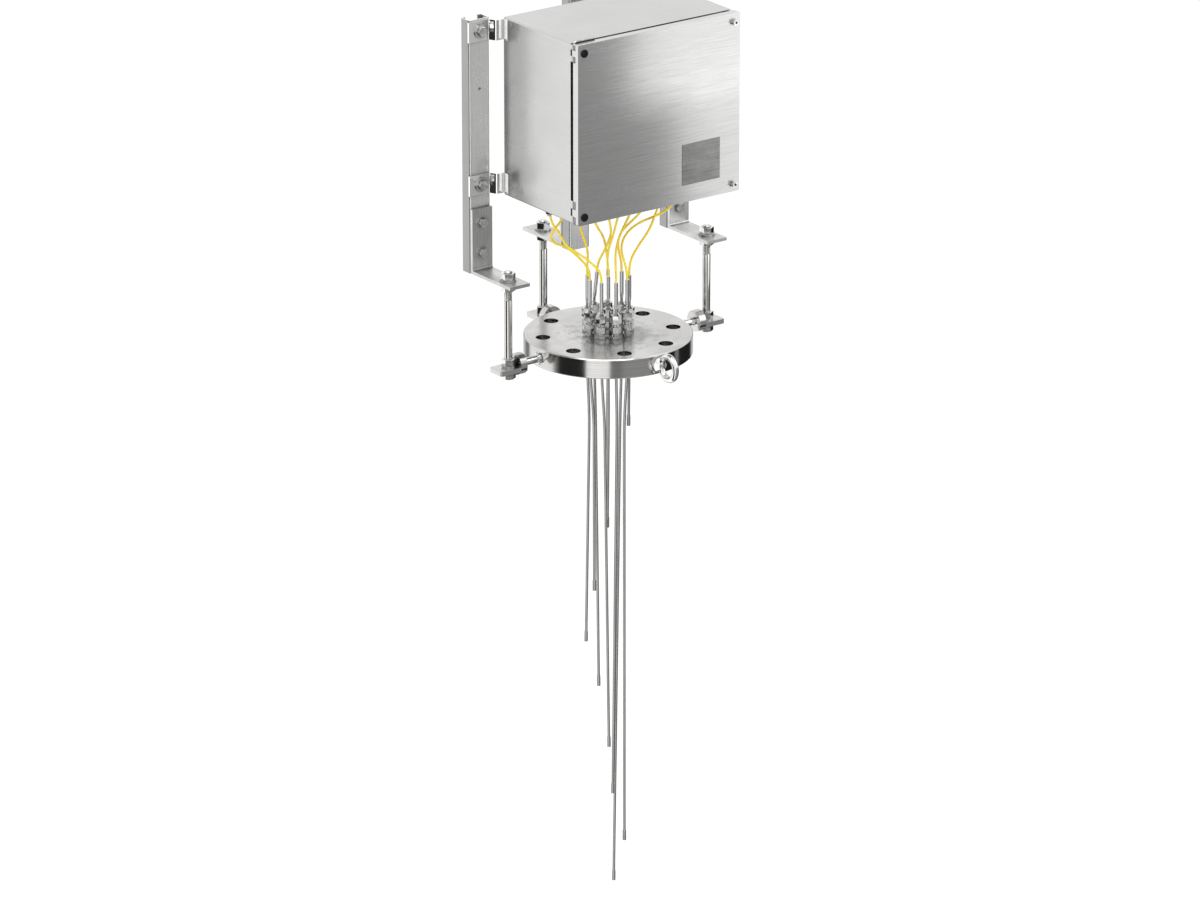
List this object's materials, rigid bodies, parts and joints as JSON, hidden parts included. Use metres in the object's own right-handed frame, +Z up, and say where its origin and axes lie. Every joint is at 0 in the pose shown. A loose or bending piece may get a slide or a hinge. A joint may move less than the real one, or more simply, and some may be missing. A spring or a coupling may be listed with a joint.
{
  "type": "multipoint thermometer",
  "caption": "Flanged multipoint temperature sensor: a bundle of stiff sheaths through a blind flange, with leads up to a junction box carried on struts above it.",
  "frame": {"origin": "centre of the bolt circle on the flange's underside, where the bolt holes open", "axes": "+Z up along the flange's axis, the sheaths hang towards -Z; the box's cover faces -Y; +X to the cover's right"},
  "size_m": [0.414, 0.3656, 1.4041],
  "materials": {
    "machined_steel": "fine turned stainless steel",
    "forged_steel": "polished forged stainless steel",
    "turned_steel": "turned stainless steel",
    "black_steel": "blackened steel",
    "rod_steel": "threaded stainless steel",
    "bolt_steel": "bright stainless steel",
    "bracket_steel": "rolled stainless steel, darker",
    "strut_steel": "satin stainless steel",
    "bright_steel": "bright stainless steel",
    "sheet_steel": "satin stainless sheet",
    "brushed_sheet": "brushed stainless sheet, grain along the width",
    "gasket_foam": "black foamed seal",
    "black_plastic": "black plastic",
    "plate_steel": "dull stainless plate, bare",
    "gland_metal": "nickel plated",
    "zinc_rail": "zinc plated steel",
    "terminal_plastic": "grey plastic",
    "sleeve_steel": "drawn stainless tube",
    "sheath_steel": "drawn stainless sheath",
    "yellow_lead": "yellow lead covering, slight sheen"
  },
  "bodies": {
    "frame": {"box_bolts": "bolt_steel", "box_straps": "bright_steel", "box_washers": "bolt_steel", "bracket_bolts": "bolt_steel", "bracket_left": "bracket_steel", "bracket_rear": "bracket_steel", "bracket_right": "bracket_steel", "cable_glands": "gland_metal", "earth_stud": "bolt_steel", "enclosure_body": "sheet_steel", "fitting_bodies": "bolt_steel", "fitting_nuts": "bolt_steel", "flange": "machined_steel", "gland_locknuts": "gland_metal", "lead_01": "yellow_lead", "lead_02": "yellow_lead", "lead_03": "yellow_lead", "lead_04": "yellow_lead", "lead_05": "yellow_lead", "lead_06": "yellow_lead", "lead_07": "yellow_lead", "lead_08": "yellow_lead", "lead_09": "yellow_lead", "lead_10": "yellow_lead", "lifting_eye": "forged_steel", "radial_studs": "turned_steel", "rod_nuts": "bolt_steel", "rod_washers": "bolt_steel", "set_screws": "black_steel", "sheath_01": "sheath_steel", "sheath_02": "sheath_steel", "sheath_03": "sheath_steel", "sheath_04": "sheath_steel", "sheath_05": "sheath_steel", "sheath_06": "sheath_steel", "sheath_07": "sheath_steel", "sheath_08": "sheath_steel", "sheath_09": "sheath_steel", "sheath_10": "sheath_steel", "strut_left": "strut_steel", "strut_middle": "strut_steel", "strut_right": "strut_steel", "swivel_lug_left": "machined_steel", "swivel_lug_rear": "machined_steel", "swivel_lug_right": "machined_steel", "terminal_blocks": "terminal_plastic", "terminal_rail": "zinc_rail", "terminal_screws": "bolt_steel", "threaded_rods": "rod_steel", "transition_sleeves": "sleeve_steel"},
    "cover": {"cover": "brushed_sheet", "cover_gasket": "gasket_foam", "hinge_pin_upper": "bolt_steel", "hinge_pin_lower": "bolt_steel", "screw_washers": "bolt_steel", "corner_plugs": "black_plastic", "nameplate": "plate_steel", "nameplate_rivets": "plate_steel"},
    "upper_screw": {"cover_screw_upper": "bolt_steel"},
    "lower_screw": {"cover_screw_lower": "bolt_steel"}
  },
  "joints": [
    {"name": "cover_hinge", "type": "hinge", "parent": "frame", "child": "cover", "pos_m": [-0.144, -0.1118, 0.3952], "axis": [0, 0, -1], "range_deg": [0, 100]},
    {"name": "upper_screw_turn", "type": "hinge", "parent": "cover", "child": "upper_screw", "pos_m": [0.136, -0.126, 0.5192], "axis": [0, -1, 0], "continuous": true},
    {"name": "lower_screw_turn", "type": "hinge", "parent": "cover", "child": "lower_screw", "pos_m": [0.136, -0.126, 0.2697], "axis": [0, -1, 0], "continuous": true}
  ]
}
